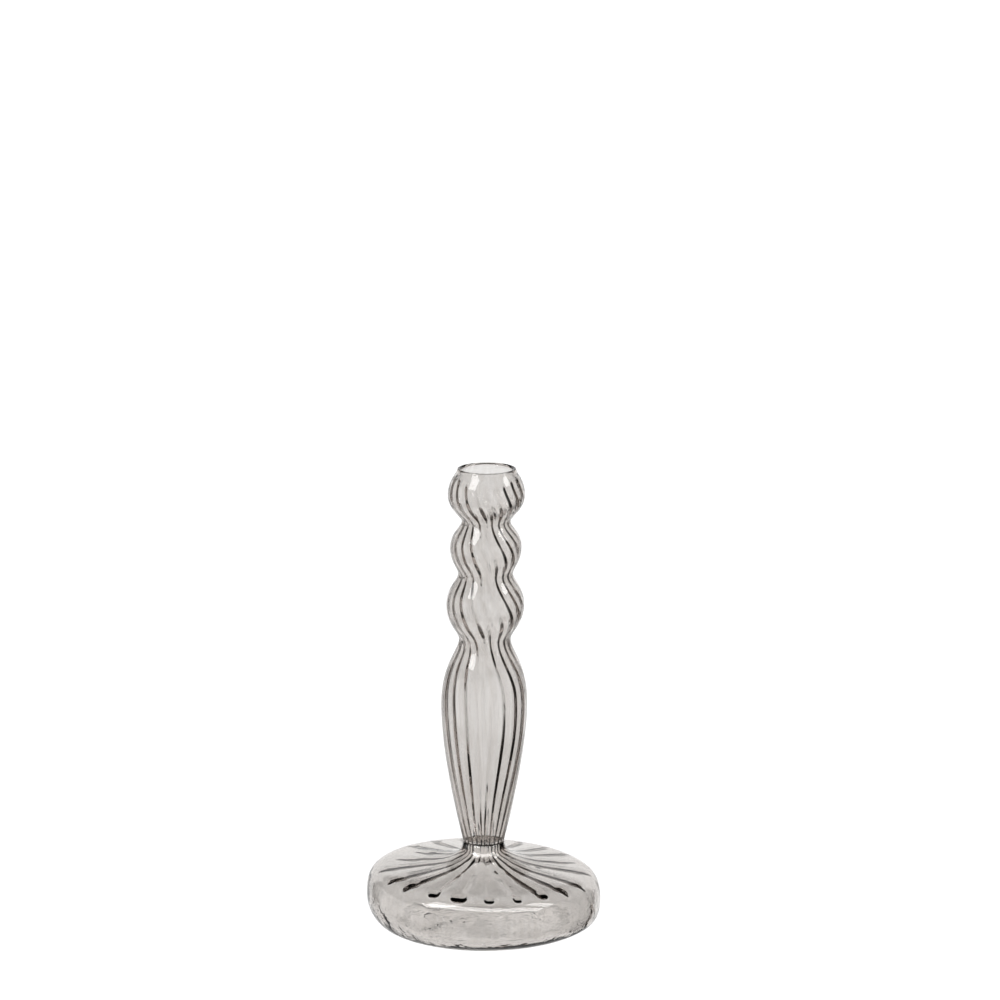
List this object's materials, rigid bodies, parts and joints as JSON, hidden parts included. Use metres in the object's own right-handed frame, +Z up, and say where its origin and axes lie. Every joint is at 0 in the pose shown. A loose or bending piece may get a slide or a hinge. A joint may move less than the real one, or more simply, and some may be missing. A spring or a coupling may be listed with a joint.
{
  "type": "glass bud vase",
  "caption": "Tall slim hollow glass vase for one stem: bulbed shaft over a long pear-shaped body, fused to a wide hollow foot.",
  "frame": {"origin": "centre of the ring that the vase rests on, at the surface it stands on", "axes": "+Z up along the vase's axis, from the foot to the mouth; +X and +Y are alike, because the walls are turned about Z"},
  "size_m": [0.085, 0.085, 0.1689],
  "materials": {
    "smoky_glass": "clear blown glass with a light smoky grey tint, fire-polished, with fine optic ribs"
  },
  "bodies": {
    "root": {"foot_base": "smoky_glass", "foot_dome": "smoky_glass", "collar": "smoky_glass", "baluster": "smoky_glass", "lower_bulb": "smoky_glass", "middle_bulb": "smoky_glass", "upper_bulb": "smoky_glass", "lip": "smoky_glass"}
  },
  "joints": []
}
